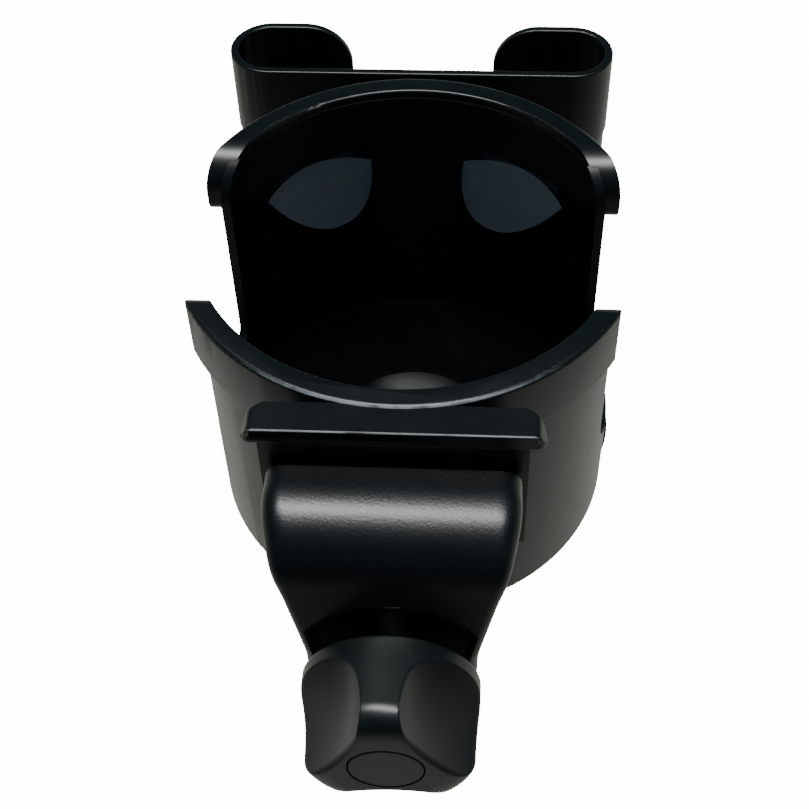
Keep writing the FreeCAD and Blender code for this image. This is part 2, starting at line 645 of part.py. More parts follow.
def cradle_walls(inset, z0, z1, corner):
    """C-shaped wall of the cradle between two heights; corner rounds the hooks' free top."""
    ring = stadium(inset, z0, z1).cut(stadium(CRADLE_WALL, z0 - 1, z1 + 1))
    mid = CRADLE_Y + CRADLE_DEPTH / 2
    far = CRADLE_Y + CRADLE_DEPTH + 1
    gap = block(-CRADLE_GAP_HALF, CRADLE_GAP_HALF, mid, far, z0 - 1, z1 + 1)
    walls = ring.cut(gap)
    if corner > 0:
        x = CRADLE_GAP_HALF
        waste = block(x - 1, x + corner, mid, far, z1 - corner, z1 + 1)
        roll = Part.makeCylinder(corner, far - mid + 2, V(x + corner, mid - 1, z1 - corner), V(0, 1, 0))
        walls = walls.cut(both_sides(waste.cut(roll)))
    return walls.removeSplitter()


def cradle_upper():
    """Top band of the phone cradle, with two rounded hooks."""
    walls = cradle_walls(0.0, CRADLE_SEAM, CRADLE_TOP, HOOK_CORNER)
    rim = [e for e in walls.Edges if e.BoundBox.ZMin > CRADLE_TOP - 0.01]
    return walls.makeFillet(0.5, rim)


def cradle_lower():
    """Lower part of the cradle: its walls, a split floor and the guide for the rail."""
    inset = CRADLE_SEAM_STEP
    walls = cradle_walls(inset, CRADLE_LOW, CRADLE_SEAM, 0)
    ledge = stadium(inset, CRADLE_LOW, CRADLE_LOW + LEDGE_THICK)
    far = CRADLE_Y + CRADLE_DEPTH + 1
    ledge = ledge.cut(block(-LEDGE_GAP_HALF, LEDGE_GAP_HALF, CRADLE_Y + CRADLE_WALL, far, 0, CRADLE_SEAM))
    outer = TEE_HALF + SLIDE_GAP + GUIDE_WALL
    guide = block(-outer, outer, GUIDE_Y, CRADLE_Y + inset, GUIDE_LOW, CRADLE_SEAM)
    room_top = TEE_HIGH + SLIDE_GAP
    tee_half = TEE_HALF + SLIDE_GAP
    neck_half = TEE_NECK_HALF + SLIDE_GAP
    tee_room = block(-tee_half, tee_half, GUIDE_Y + GUIDE_LIP, CRADLE_Y, 0, room_top)
    neck_room = block(-neck_half, neck_half, GUIDE_Y - 1, GUIDE_Y + GUIDE_LIP, 0, room_top)
    body = fuse_all([walls, ledge, guide])
    return body.cut([tee_room, neck_room])


def grip_flap(side, end):
    """Soft leaf hinged on the wall: straight run along the wall, one full curve inside."""
    inward, along, hinge = flap_frame(side, end)
    half = FLAP_HALF_SPAN
    down = math.tan(math.radians(FLAP_SLOPE))
    level_reach = FLAP_REACH * math.cos(math.radians(FLAP_SLOPE))

    def wall_inset(s):
        gap = FLAP_MID_GAP + (FLAP_END_GAP - FLAP_MID_GAP) * (s / half) ** 2
        return (WELL_R - FLAP_AXIS_INSET) - math.sqrt((WELL_R - gap) ** 2 - s * s)

    def place(s, p):
        return hinge + along * s + inward * p + V(0, 0, -down * p)

    tip = wall_inset(half)
    wall_edge = Part.Arc(place(-half, tip), place(0, wall_inset(0)), place(half, tip))
    free = []
    for step in (1.0, 0.93, 0.75, 0.5, 0.25, 0.0, -0.25, -0.5, -0.75, -0.93, -1.0):
        fall = (1 - abs(step) ** FLAP_FULLNESS) ** FLAP_TIP_POWER
        free.append(place(half * step, tip + (level_reach - tip) * fall))
    curve = Part.BSplineCurve()
    curve.interpolate(free)
    face = Part.Face(Part.Wire([wall_edge.toShape(), curve.toShape()]))
    return face.extrude(V(0, 0, -FLAP_THICK))


def anchor_strips():
    """Strips let into the wall behind the roots of the four flaps."""
    strips = []
    low = FLAP_HEIGHT - ANCHOR_HEIGHT / 2
    outer = WELL_R + ANCHOR_DEPTH
    for end in (-1, 1):
        for side in (-1, 1):
            mid = end * (90 - side * FLAP_MID_ANGLE)
            wedge = Part.makeCylinder(outer, ANCHOR_HEIGHT, V(0, 0, low), V(0, 0, 1), 2 * ANCHOR_HALF_ANGLE)
            wedge.rotate(V(0, 0, 0), V(0, 0, 1), mid - ANCHOR_HALF_ANGLE)
            strips.append(wedge.cut(upright(WELL_R, low - 1, low + ANCHOR_HEIGHT + 1)))
    return strips


def build():
    """Every piece by name."""
    front_collar, rear_collar = rim_collars()
    pieces = {
        "cup_shell": cup_shell(),
        "front_rim_collar": front_collar,
        "rear_rim_collar": rear_collar,
        "front_receiver": front_receiver(),
        "receiver_hood": receiver_hood(),
        "receiver_screws": fixing_screws(),
        "rear_rail": rear_rail(),
        "flap_anchors": Part.makeCompound(anchor_strips()),
        "clamp_body": clamp_body(),
        "jaw_pad": jaw_pad(),
        "threaded_insert": threaded_insert(),
        "clamp_screw": clamp_screw(),
        "knob": knob(),
        "knob_cap": knob_cap(),
        "thrust_washer": thrust_washer(),
        "pressure_shoe": pressure_shoe(),
        "shoe_pad": shoe_pad(),
        "shoe_clip": shoe_clip(),
        "cradle_upper": cradle_upper(),
        "cradle_lower": cradle_lower(),
    }
    for end, end_name in ((1, "rear"), (-1, "front")):
        for side, side_name in ((-1, "left"), (1, "right")):
            pieces["flap_" + end_name + "_" + side_name] = grip_flap(side, end)
    return pieces


os.makedirs("parts", exist_ok=True)
for name, shape in build().items():
    shape.exportStep("parts/" + name + ".step")
    box = shape.BoundBox
    print(name, shape.isValid(), len(shape.Solids), "volume", round(shape.Volume, 1),
          "x", round(box.XMin, 2), round(box.XMax, 2), "y", round(box.YMin, 2), round(box.YMax, 2),
          "z", round(box.ZMin, 2), round(box.ZMax, 2))
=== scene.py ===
import json
import math

import bmesh
import bpy
import numpy as np
from mathutils import Matrix, Vector


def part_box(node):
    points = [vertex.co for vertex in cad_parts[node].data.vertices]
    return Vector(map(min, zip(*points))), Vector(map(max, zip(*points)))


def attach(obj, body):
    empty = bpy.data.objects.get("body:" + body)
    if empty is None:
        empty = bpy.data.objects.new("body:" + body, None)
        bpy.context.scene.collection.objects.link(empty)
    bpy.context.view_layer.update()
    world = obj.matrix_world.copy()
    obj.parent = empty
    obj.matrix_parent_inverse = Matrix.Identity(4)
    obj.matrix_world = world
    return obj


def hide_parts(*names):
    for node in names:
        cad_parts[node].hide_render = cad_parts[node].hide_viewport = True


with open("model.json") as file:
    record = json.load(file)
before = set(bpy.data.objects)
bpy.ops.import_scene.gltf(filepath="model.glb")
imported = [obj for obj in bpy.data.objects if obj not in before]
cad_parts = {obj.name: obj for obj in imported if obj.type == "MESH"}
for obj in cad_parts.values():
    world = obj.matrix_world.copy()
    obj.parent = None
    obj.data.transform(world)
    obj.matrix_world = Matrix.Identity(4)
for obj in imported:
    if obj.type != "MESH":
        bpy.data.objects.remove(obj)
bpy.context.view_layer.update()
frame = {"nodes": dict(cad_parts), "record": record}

MM = 0.001

# ---------------------------------------------------------------- places, in mm, from the frame


def span(node):
    """Lowest and highest corner of a CAD node in millimetres."""
    low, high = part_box(node)
    return np.array(low) / MM, np.array(high) / MM


knob_low, knob_high = span("knob")
cap_low, cap_high = span("knob_cap")
insert_low, _ = span("threaded_insert")
joints = {j["name"]: j for j in frame["record"]["behaviour"]["joints"]}

SCREW_Z = (knob_low[2] + knob_high[2]) / 2
WELL_R = 44.6              # inside of the cup's wall


# ---------------------------------------------------------------- mesh helpers


SOFTER_THAN = 28.0         # degrees between faces below which a moulded edge stays as it is


def smoothstep(x, low, high):
    """0 below low, 1 above high, a smooth S between them."""
    t = np.clip((x - low) / (high - low), 0.0, 1.0)
    return t * t * (3 - 2 * t)


def soft_min(a, b, width):
    """The smaller of two arrays, with the crossing rounded over about the given width."""
    h = np.clip(0.5 + 0.5 * (b - a) / width, 0.0, 1.0)
    return b + (a - b) * h - width * h * (1 - h)


def grid_piece(name, grids, body, material, replaces):
    """One mesh from grids of points in mm, each of shape (u, v, 3) and joined round in v.

    Rows that collapse to one point are welded, so poles are closed, and the
    faces are turned outwards.
    """
    verts, quads, first = [], [], 0
    for points in grids:
        count_u, count_v, _ = points.shape
        index = np.arange(count_u * count_v).reshape(count_u, count_v) + first
        index = np.hstack([index, index[:, :1]])
        corners = [index[:-1, :-1], index[:-1, 1:], index[1:, 1:], index[1:, :-1]]
        quads.append(np.stack(corners, axis=-1).reshape(-1, 4))
        verts.append(points.reshape(-1, 3))
        first += count_u * count_v
    mesh = bpy.data.meshes.new(name)
    mesh.from_pydata((np.concatenate(verts) * MM).tolist(), [], np.concatenate(quads).tolist())
    return finished(name, mesh, body, material, replaces)


def finished(name, mesh, body, material, replaces, sharp=35.0):
    """Welds, orients and shades a mesh, and makes it a piece of the object."""
    work = bmesh.new()
    work.from_mesh(mesh)
    bmesh.ops.remove_doubles(work, verts=work.verts, dist=0.002 * MM)
    bmesh.ops.dissolve_degenerate(work, edges=work.edges, dist=0.001 * MM)
    bmesh.ops.recalc_face_normals(work, faces=work.faces)
    for face in work.faces:
        face.smooth = True
    for edge in work.edges:
        edge.smooth = not edge.is_manifold or edge.calc_face_angle(0.0) < math.radians(sharp)
    work.to_mesh(mesh)
    work.free()
    mesh.update()
    piece = bpy.data.objects.new(name, mesh)
    bpy.context.scene.collection.objects.link(piece)
    mesh.materials.append(material)
    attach(piece, body)
    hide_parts(*replaces)
    return piece


def moulded_copy(node, body, material, edge_mm):
    """A merged copy of a CAD node with its sharp edges rolled over by a mould's small radius."""
    mesh = frame["nodes"][node].data.copy()
    mesh.materials.clear()
    for layer in list(mesh.attributes):
        if layer.name == "custom_normal":
            mesh.attributes.remove(layer)
    piece = finished(node + "_moulded", mesh, body, material, (node,), sharp=SOFTER_THAN)
    work = bmesh.new()
    work.from_mesh(piece.data)
    bmesh.ops.dissolve_limit(work, angle_limit=math.radians(0.4), verts=work.verts, edges=work.edges,
                             delimit={"NORMAL"})
    work.to_mesh(piece.data)
    work.free()
    bevel = piece.modifiers.new("rolled_edges", "BEVEL")
    bevel.width = edge_mm * MM
    bevel.segments = 3
    bevel.limit_method = "ANGLE"
    bevel.angle_limit = math.radians(SOFTER_THAN)
    bevel.harden_normals = True
    bevel.use_clamp_overlap = True


# ---------------------------------------------------------------- materials


DUST = "8f9496"
# pale grey of the painted highlight on edges that face up and forward
EDGE_HIGHLIGHT = "868c90"
DUST_SPACING_MM = 9.0


def linear(hex_colour):
    """sRGB hex, such as '1a1c1e', as linear red, green, blue and 1."""
    channels = [int(hex_colour[i:i + 2], 16) / 255 for i in (0, 2, 4)]
    turned_linear = [c / 12.92 if c <= 0.04045 else ((c + 0.055) / 1.055) ** 2.4 for c in channels]
    return (*turned_linear, 1.0)


def add(tree, kind, settings=None, links=None):
    """Adds a node: settings are its attributes or input values, links are input name to an output."""
    node = tree.nodes.new(kind)
    for key, value in (settings or {}).items():
        if isinstance(key, str) and hasattr(node, key) and key not in node.inputs:
            setattr(node, key, value)
        else:
            node.inputs[key].default_value = value
    for key, source in (links or {}).items():
        tree.links.new(source, node.inputs[key])
    return node


def start(name, ior=1.5):
    """A new material: its tree, its shader and its Object coordinates."""
    material = bpy.data.materials.new(name)
    material.use_nodes = True
    tree = material.node_tree
    tree.nodes.clear()
    shader = add(tree, "ShaderNodeBsdfPrincipled", {"IOR": ior})
    output = add(tree, "ShaderNodeOutputMaterial", None, {"Surface": shader.outputs["BSDF"]})
    output.is_active_output = True
    place = add(tree, "ShaderNodeTexCoord").outputs["Object"]
    return material, tree, shader, place


def per_metre(size_mm):
    """Noise scale whose features measure size_mm."""
    return 1.0 / (size_mm * MM)


def dusted(tree, place, base, size):
    """The base colour with dust specks: small discs round the points of a loose cell pattern."""
    cells = add(tree, "ShaderNodeTexVoronoi", {"Scale": per_metre(DUST_SPACING_MM), "Randomness": 1.0},
                {"Vector": place})
    near = add(tree, "ShaderNodeMath", {"operation": "LESS_THAN", 1: size}, {0: cells.outputs["Distance"]})
    mixed = add(tree, "ShaderNodeMix", {"data_type": "RGBA", "B": linear(DUST)},
                {"Factor": near.outputs["Value"], "A": base})
    return mixed.outputs["Result"]


def painted_edge_highlight(tree, smear, base):
    """The base colour lightened on edges that face up and forward, broken up by the smears: a painted
    highlight where a light from the front and above would catch these edges.
    """
    facing = add(tree, "ShaderNodeNewGeometry").outputs["Normal"]
    axes = add(tree, "ShaderNodeSeparateXYZ", None, {"Vector": facing})
    both = add(tree, "ShaderNodeMath", {"operation": "MULTIPLY"},
               {0: axes.outputs["Y"], 1: axes.outputs["Z"]})
    edge = add(tree, "ShaderNodeMapRange", {"From Min": -0.38, "From Max": -0.48},
               {"Value": both.outputs["Value"]})
    broken = add(tree, "ShaderNodeMapRange", {"From Min": 0.30, "From Max": 0.52, "To Min": 0.15},
                 {"Value": smear})
    lit_share = add(tree, "ShaderNodeMath", {"operation": "MULTIPLY"},
              {0: edge.outputs["Result"], 1: broken.outputs["Result"]})
    mixed = add(tree, "ShaderNodeMix", {"data_type": "RGBA", "B": linear(EDGE_HIGHLIGHT)},
                {"Factor": lit_share.outputs["Value"], "A": base})
    return mixed.outputs["Result"]


def shaded_floor_gloss(tree, place):
    """Gloss that fades to nothing over the outer part of the cup's floor: painted shade, which keeps the
    deep well dark.

    It is the largest of three: a faint one inside a circle on the floor, and
    full ones on the wall above the floor and on everything outside the well.
    """
    spot = add(tree, "ShaderNodeSeparateXYZ", None, {"Vector": place})
    flat = add(tree, "ShaderNodeCombineXYZ", None, {"X": spot.outputs["X"], "Y": spot.outputs["Y"]})
    reach = add(tree, "ShaderNodeVectorMath", {"operation": "LENGTH"}, {0: flat.outputs["Vector"]})
    middle = add(tree, "ShaderNodeMapRange", {"From Min": 18.0 * MM, "From Max": 21.5 * MM,
                                              "To Min": 0.10, "To Max": 0.0},
                 {"Value": reach.outputs["Value"]})
    above = add(tree, "ShaderNodeMapRange", {"From Min": 12.0 * MM, "From Max": 20.0 * MM, "To Max": 0.5},
                {"Value": spot.outputs["Z"]})
    outside = add(tree, "ShaderNodeMapRange", {"From Min": 44.0 * MM, "From Max": 45.0 * MM, "To Max": 0.5},
                  {"Value": reach.outputs["Value"]})
    either = add(tree, "ShaderNodeMath", {"operation": "MAXIMUM"},
                 {0: middle.outputs["Result"], 1: above.outputs["Result"]})
    most = add(tree, "ShaderNodeMath", {"operation": "MAXIMUM"},
               {0: either.outputs["Value"], 1: outside.outputs["Result"]})
    return most.outputs["Value"]


def moulded_abs(name, dark, light, rough_low, rough_high, grain_mm, grain_depth_mm, dust_size=0.0,
                lit_edges=False, shaded_floor=False):
    """Injection moulded ABS: near-black, satin from a spark-eroded mould.

    A fine grain breaks up the highlight, drawn coarser than the real one,
    which would be too fine to show. Broad flow marks and finer smears vary
    the colour and the gloss a little.
    """
    material, tree, shader, place = start(name, 1.53)
    flow = add(tree, "ShaderNodeTexNoise", {"Scale": per_metre(28.0), "Detail": 3.0, "Roughness": 0.55},
               {"Vector": place}).outputs["Fac"]
    smear = add(tree, "ShaderNodeTexNoise", {"Scale": per_metre(5.0), "Detail": 6.0, "Roughness": 0.6},
                {"Vector": place}).outputs["Fac"]
    grain = add(tree, "ShaderNodeTexNoise", {"Scale": per_metre(grain_mm), "Detail": 2.0, "Roughness": 0.5},
                {"Vector": place}).outputs["Fac"]
    broad = add(tree, "ShaderNodeMix", {"data_type": "FLOAT", "Factor": 0.35},
                {"A": flow, "B": smear}).outputs["Result"]
    share = add(tree, "ShaderNodeMapRange", {"From Min": 0.35, "From Max": 0.68}, {"Value": broad})
    base = add(tree, "ShaderNodeMix", {"data_type": "RGBA", "A": linear(dark), "B": linear(light)},
               {"Factor": share.outputs["Result"]}).outputs["Result"]
    if dust_size > 0:
        base = dusted(tree, place, base, dust_size)
    # painted highlight on the edges that face up and forward
    if lit_edges:
        base = painted_edge_highlight(tree, smear, base)
    # painted shade: the cup's floor loses its gloss by position, so the deep well stays dark
    if shaded_floor:
        tree.links.new(shaded_floor_gloss(tree, place), shader.inputs["Specular IOR Level"])
    tree.links.new(base, shader.inputs["Base Color"])
    rough = add(tree, "ShaderNodeMapRange", {"From Min": 0.3, "From Max": 0.7, "To Min": rough_low,
                                             "To Max": rough_high}, {"Value": broad})
    tree.links.new(rough.outputs["Result"], shader.inputs["Roughness"])
    bump = add(tree, "ShaderNodeBump", {"Strength": 1.0, "Distance": grain_depth_mm * MM}, {"Height": grain})
    tree.links.new(bump.outputs["Normal"], shader.inputs["Normal"])
    return material


def elastomer(name, dark, light, rough, grain_mm, depth_mm, sheen, gloss):
    """Thermoplastic elastomer or rubber: matte, with a dusty bloom and no clear highlight."""
    material, tree, shader, place = start(name)
    shader.inputs["Specular IOR Level"].default_value = gloss
    shader.inputs["Sheen Weight"].default_value = sheen
    shader.inputs["Sheen Roughness"].default_value = 0.5
    cloud = add(tree, "ShaderNodeTexNoise", {"Scale": per_metre(7.0), "Detail": 5.0, "Roughness": 0.6},
                {"Vector": place}).outputs["Fac"]
    grain = add(tree, "ShaderNodeTexNoise", {"Scale": per_metre(grain_mm), "Detail": 3.0, "Roughness": 0.6},
                {"Vector": place}).outputs["Fac"]
    share = add(tree, "ShaderNodeMapRange", {"From Min": 0.3, "From Max": 0.7}, {"Value": cloud})
    colour = add(tree, "ShaderNodeMix", {"data_type": "RGBA", "A": linear(dark), "B": linear(light)},
                 {"Factor": share.outputs["Result"]})
    tree.links.new(colour.outputs["Result"], shader.inputs["Base Color"])
    spread = add(tree, "ShaderNodeMapRange", {"From Min": 0.3, "From Max": 0.7, "To Min": rough - 0.06,
                                              "To Max": rough + 0.06}, {"Value": cloud})
    tree.links.new(spread.outputs["Result"], shader.inputs["Roughness"])
    bump = add(tree, "ShaderNodeBump", {"Strength": 0.8, "Distance": depth_mm * MM}, {"Height": grain})
    tree.links.new(bump.outputs["Normal"], shader.inputs["Normal"])
    return material


def plated(name, low, high, rough, brush_mm):
    """Turned or plated metal: fine tool marks drawn out one way, and slight tarnish."""
    material, tree, shader, place = start(name)
    shader.inputs["Metallic"].default_value = 1.0
    lines = add(tree, "ShaderNodeMapping", {"Scale": (1.0, 12.0, 1.0)}, {"Vector": place}).outputs["Vector"]
    marks = add(tree, "ShaderNodeTexNoise", {"Scale": per_metre(brush_mm), "Detail": 4.0}, {"Vector": lines})
    cloud = add(tree, "ShaderNodeTexNoise", {"Scale": per_metre(3.0), "Detail": 4.0}, {"Vector": place})
    colour = add(tree, "ShaderNodeMix", {"data_type": "RGBA", "A": linear(low), "B": linear(high)},
                 {"Factor": cloud.outputs["Fac"]})
    tree.links.new(colour.outputs["Result"], shader.inputs["Base Color"])
    spread = add(tree, "ShaderNodeMapRange", {"To Min": rough - 0.08, "To Max": rough + 0.12},
                 {"Value": marks.outputs["Fac"]})
    tree.links.new(spread.outputs["Result"], shader.inputs["Roughness"])
    bump = add(tree, "ShaderNodeBump", {"Strength": 0.4, "Distance": 0.02 * MM},
               {"Height": marks.outputs["Fac"]})
    tree.links.new(bump.outputs["Normal"], shader.inputs["Normal"])
    return material


# the cup, the rails and the cradle: ABS from a finely eroded mould, near-black with a soft sheen
SATIN_ABS = moulded_abs("satin_moulded_abs", "040607", "080b0c", 0.28, 0.36, 0.55, 0.012)
# the same inside the cup, where the floor's gloss is taken away as painted shade, so the deep well stays
# dark
SHELL_ABS = moulded_abs("deep_moulded_abs_painted_floor_shade", "040607", "080b0c", 0.28, 0.36, 0.55, 0.012, shaded_floor=True)
# the front collar and the hood: the same ABS with a few dust specks, and a painted highlight on the edges
# that face up and forward
RIM_ABS = moulded_abs("dusty_abs_painted_edge_highlight", "05080a", "0a0e10", 0.29, 0.37, 0.60, 0.016,
                      dust_size=0.020, lit_edges=True)
# the clamp: ABS from a coarsely eroded mould, whose grain gives the head's highlight a sparkle
GRAINED_ABS = moulded_abs("spark_eroded_abs", "05080a", "090c0e", 0.30, 0.36, 0.60, 0.030)
# the knob: ABS from a lightly blasted mould, a shade greyer than the rest
KNOB_ABS = moulded_abs("matte_moulded_abs", "090d0e", "0f1415", 0.30, 0.37, 0.40, 0.010)
# the flaps: moulded elastomer, slate blue-grey, matte and faintly clouded
SLATE_TPE = elastomer("slate_elastomer", "081118", "101b22", 0.60, 0.50, 0.03, 0.02, 0.12)
# the grip pads: moulded rubber, plain black with a dusty bloom
BLACK_RUBBER = elastomer("black_rubber", "0c0c0d", "141416", 0.72, 0.60, 0.03, 0.10, 0.4)
# the screws, the washer and the clip: zinc plated steel, bright grey and a little streaked
ZINC = plated("zinc_plated_steel", "9a9ea2", "c3c6c8", 0.30, 0.9)
# the threaded insert: turned brass, dull yellow with tool marks
BRASS = plated("turned_brass", "8a6a30", "b8924a", 0.32, 0.9)


# ---------------------------------------------------------------- knob


KNOB_R = (knob_high[0] - knob_low[0]) / 2
KNOB_BACK = knob_high[1]
KNOB_END = knob_low[1]
KNOB_LEN = KNOB_BACK - KNOB_END
LOBE_TURN = math.radians(3.0)      # the lobe on top leans a little to the left
LOBE_SHARE = 2 * math.pi / 3
KNOB_FLANGE = 3.0                  # full round behind the scoops
KNOB_ROLL = 5.0                    # length over which the lobes' ends roll in
KNOB_LIP = 1.1                     # the smaller round at the very end
KNOB_EDGE = 0.6                    # round of the flange's back edge and of the scoops' edges
SCOOP_CENTRE = 51.0                # from the axis to the middle of a scoop's circle
SCOOP_FLOOR = 9.7                  # from the axis to a scoop's deepest line
KNOB_BORE = 4.2
BORE_DEPTH = 12.0
CAP_GROOVE = 0.30                  # gap round the cap


def knob_ring(radius, y, angle):
    """A circle, or any outline given as a radius for each angle, square to the screw's axis."""
    radius = np.broadcast_to(radius, angle.shape)
    return np.stack([radius * np.cos(angle), np.full(angle.shape, y), SCREW_Z + radius * np.sin(angle)], -1)


def knob_piece():
    """The knob as a radius over angle and depth.

    The radius is the smaller of a round body, whose end rolls over a large
    ellipse, and three broad scoops. Each scoop is part of a large circle
    centred outside the body, and sinks in along a quarter sine from the
    flange to the end. A small ellipse rounds the end's edge, then the
    radius runs in to the groove round the cap and down to a pole.
    """
    angle = np.linspace(0, 2 * math.pi, 540, endpoint=False)
    depth = np.concatenate([np.linspace(0, KNOB_EDGE, 5), np.linspace(0.9, 13.0, 60),
                            np.linspace(13.2, KNOB_LEN, 44)])
    t, a = np.meshgrid(depth, angle, indexing="ij")
    past = np.clip((t - (KNOB_LEN - KNOB_ROLL)) / KNOB_ROLL, 0, 1)
    body = KNOB_R - KNOB_ROLL * (1 - np.sqrt(1 - past ** 2)) * 1.02
    back = np.clip(1 - t / KNOB_EDGE, 0, 1)
    body = body - KNOB_EDGE * (1 - np.sqrt(1 - back ** 2))
    sink = np.sin(np.clip((t - KNOB_FLANGE) / (KNOB_LEN - KNOB_FLANGE), 0, 1) ** 0.6 * math.pi / 2)
    clear = KNOB_R + 0.6
    waist = clear - (clear - SCOOP_FLOOR) * sink
    scoop_r = SCOOP_CENTRE - SCOOP_FLOOR
    scoop = np.full_like(t, 1e3)
    for k in range(3):
        off = a - (math.pi / 2 + LOBE_TURN + LOBE_SHARE / 2 + k * LOBE_SHARE)
        off = (off + math.pi) % (2 * math.pi) - math.pi
        inside = scoop_r ** 2 - (SCOOP_CENTRE * np.sin(off)) ** 2
        reach = SCOOP_CENTRE * np.cos(off) - np.sqrt(np.clip(inside, 0, None)) + (waist - SCOOP_FLOOR)
        faces_scoop = (np.abs(off) < 1.05) & (inside > 0)
        scoop = np.minimum(scoop, np.where(faces_scoop, reach, 1e3))
    rolled = np.clip((t - (KNOB_LEN - KNOB_LIP)) / KNOB_LIP, 0, 1)
    radius = soft_min(body, scoop, KNOB_EDGE) - KNOB_LIP * (1 - np.sqrt(1 - rolled ** 2)) * 0.85
    side = np.stack([radius * np.cos(a), KNOB_BACK - t, SCREW_Z + radius * np.sin(a)], axis=-1)

    cap_r = (cap_high[0] - cap_low[0]) / 2
    groove = cap_r + CAP_GROOVE
    end_r = radius[-1]
    end = [knob_ring(end_r + (groove + 0.15 - end_r) * share, KNOB_END, angle)
           for share in np.linspace(0.15, 1.0, 6)]
    end += [knob_ring(r, KNOB_END + inward, angle)
            for r, inward in ((groove, 0.12), (groove - 0.02, 1.0), (groove - 0.05, 1.55),
                              (cap_r * 0.5, 1.6), (0.0, 1.6))]
    bore = [knob_ring(r, KNOB_BACK - inward, angle)
            for r, inward in ((0.0, BORE_DEPTH), (KNOB_BORE, BORE_DEPTH), (KNOB_BORE, BORE_DEPTH / 2),
                              (KNOB_BORE, 0.0), (9.0, 0.0), (KNOB_R - 1.4, 0.0))]
    points = np.concatenate([np.array(bore), side, np.array(end)], axis=0)
    grid_piece("lobed_knob", [points], "screw", KNOB_ABS, ("knob",))


knob_piece()


# ---------------------------------------------------------------- clamp


def rounded_path(corners, steps, line_steps):
    """Points along an outline whose corners are arcs: (a, b, radius) each, ends unrounded."""
    points = []
    count = len(corners)
    for i, (a, b, radius) in enumerate(corners):
        here = np.array([a, b], float)
        if i in (0, count - 1):
            ends = [here]
        else:
            back = np.array(corners[i - 1][:2]) - here
            on = np.array(corners[i + 1][:2]) - here
            back /= np.linalg.norm(back)
            on /= np.linalg.norm(on)
            half = math.acos(np.clip(back @ on, -1, 1)) / 2
            middle = (back + on) / np.linalg.norm(back + on)
            centre = here + middle * radius / math.sin(half)
            first = here + back * radius / math.tan(half) - centre
            last = here + on * radius / math.tan(half) - centre
            turn = math.pi - 2 * half
            share = np.linspace(0, 1, steps)[:, None]
            swing = np.sin((1 - share) * turn) * first + np.sin(share * turn) * last
            ends = list(centre + swing / math.sin(turn))
        if points:
            begin = points[-1]
            for share in np.linspace(0, 1, line_steps + 1)[1:-1]:
                points.append(begin + (ends[0] - begin) * share)
        points.extend(ends)
    return np.array(points)


ARM_FRONT = insert_low[1] + 0.5
ARM_BACK = ARM_FRONT + 5.2
ARM_END_R = 17.2                   # half-round end of the arm, round the screw
ARM_LOW = SCREW_Z - ARM_END_R + 0.1
HEAD_BACK = ARM_FRONT + 22.0
HEAD_FRONT = HEAD_BACK - 17.2
HEAD_TOP = 70.0
HEAD_UNDER = 57.0
KNEE = SCREW_Z + 7.6               # height where the head's slope meets the arm
RECESS_DEPTH = 2.6                 # of the round recess that the knob sits in
RECESS_R = 21.5
RECESS_RIM = 2.0                   # left standing at the arm's sides
RECESS_SLOPE = 0.5

# height and half width: a straight head, a taper down the arm, the screw's height last
WIDTHS = rounded_path([(HEAD_TOP + 10, 26.0, 0), (69.5, 26.0, 14.0), (52.0, 20.9, 30.0),
                       (SCREW_Z + 6, 17.3, 24.0), (SCREW_Z, ARM_END_R, 0)], 10, 3)[::-1]


def half_width(z):
    """Half the clamp's width at a height: straight head, taper, then a half-round end."""
    drop = np.clip(SCREW_Z - z, 0, ARM_END_R - 0.01)
    round_end = np.sqrt(ARM_END_R ** 2 - drop ** 2)
    return np.where(z < SCREW_Z, round_end, np.interp(z, WIDTHS[:, 0], WIDTHS[:, 1]))


